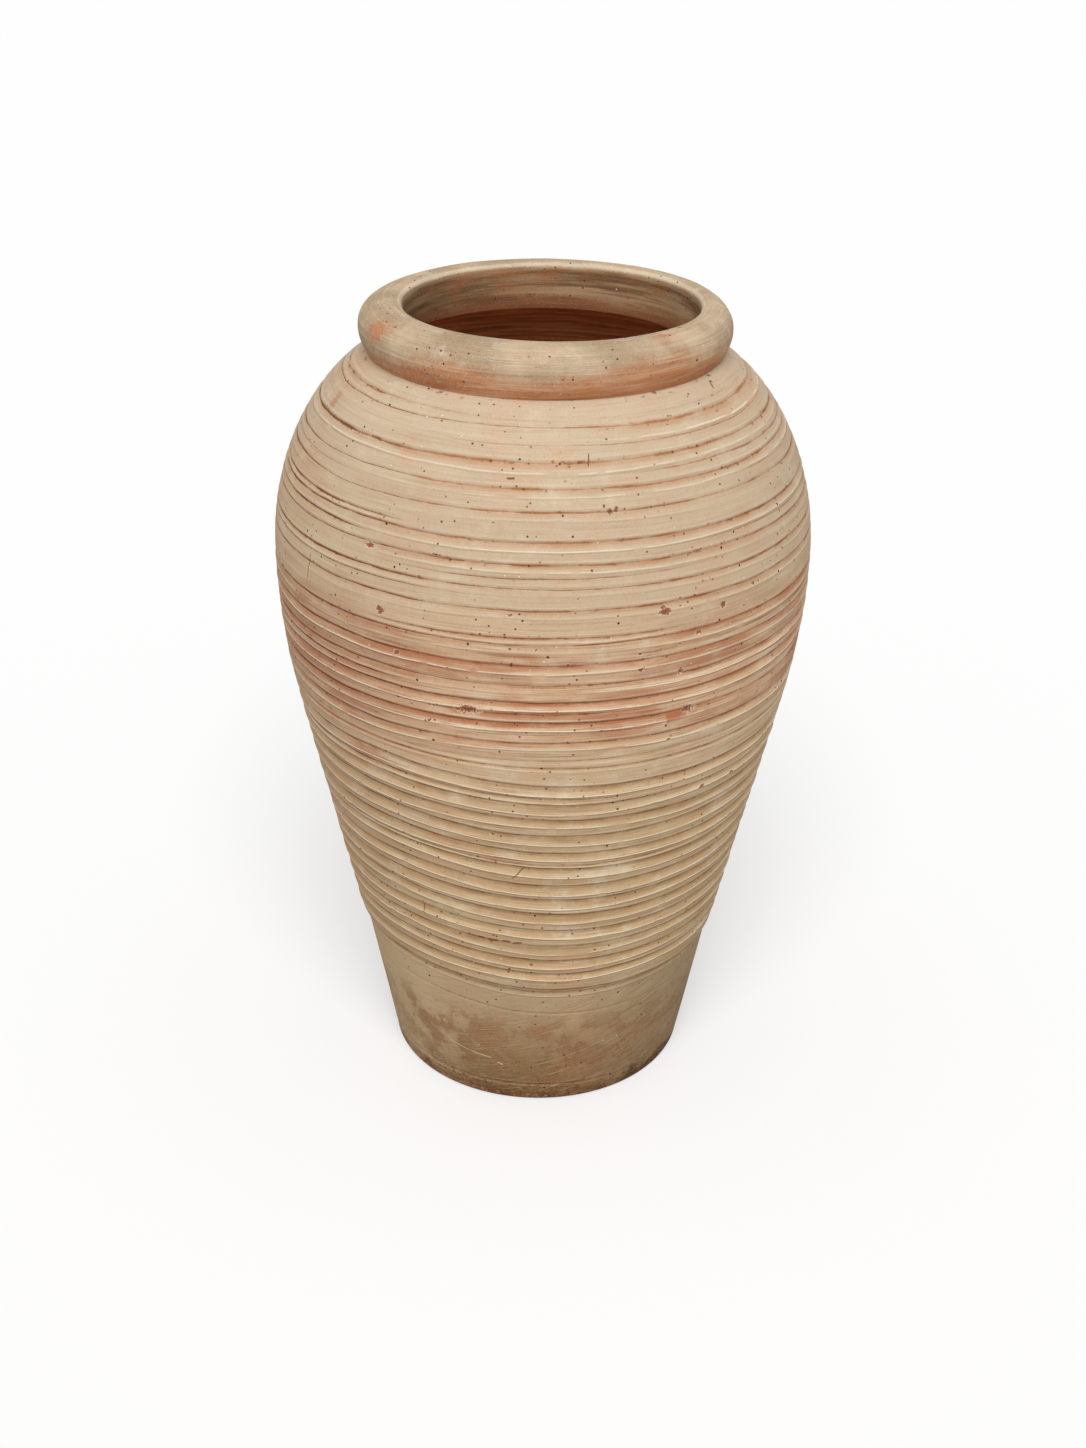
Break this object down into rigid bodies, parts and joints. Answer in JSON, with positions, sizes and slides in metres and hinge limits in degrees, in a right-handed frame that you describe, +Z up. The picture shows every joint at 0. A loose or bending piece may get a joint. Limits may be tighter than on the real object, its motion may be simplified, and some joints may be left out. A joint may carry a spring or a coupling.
{
  "type": "pithos",
  "caption": "Tall free-standing terracotta storage jar with a thick rolled rim, a wide shoulder, ribbed walls that taper down, and a smooth flat-based foot.",
  "frame": {"origin": "middle of the flat underside, on the surface that the jar stands on", "axes": "+Z up along the jar's turning axis, through the mouth; X and Y are any two level directions"},
  "size_m": [0.6139, 0.614, 0.95],
  "materials": {
    "rim_clay": "matte",
    "wall_clay": "matte",
    "foot_clay": "matte",
    "inner_clay": "matte"
  },
  "bodies": {
    "root": {"floor_slab": "foot_clay", "corner_coil": "inner_clay", "foot_ring": "foot_clay", "lower_wall_ring": "wall_clay", "middle_wall_ring": "wall_clay", "upper_wall_ring": "wall_clay", "belly_ring": "wall_clay", "shoulder_ring": "wall_clay", "neck_ring": "wall_clay", "rolled_rim": "rim_clay"}
  },
  "joints": []
}
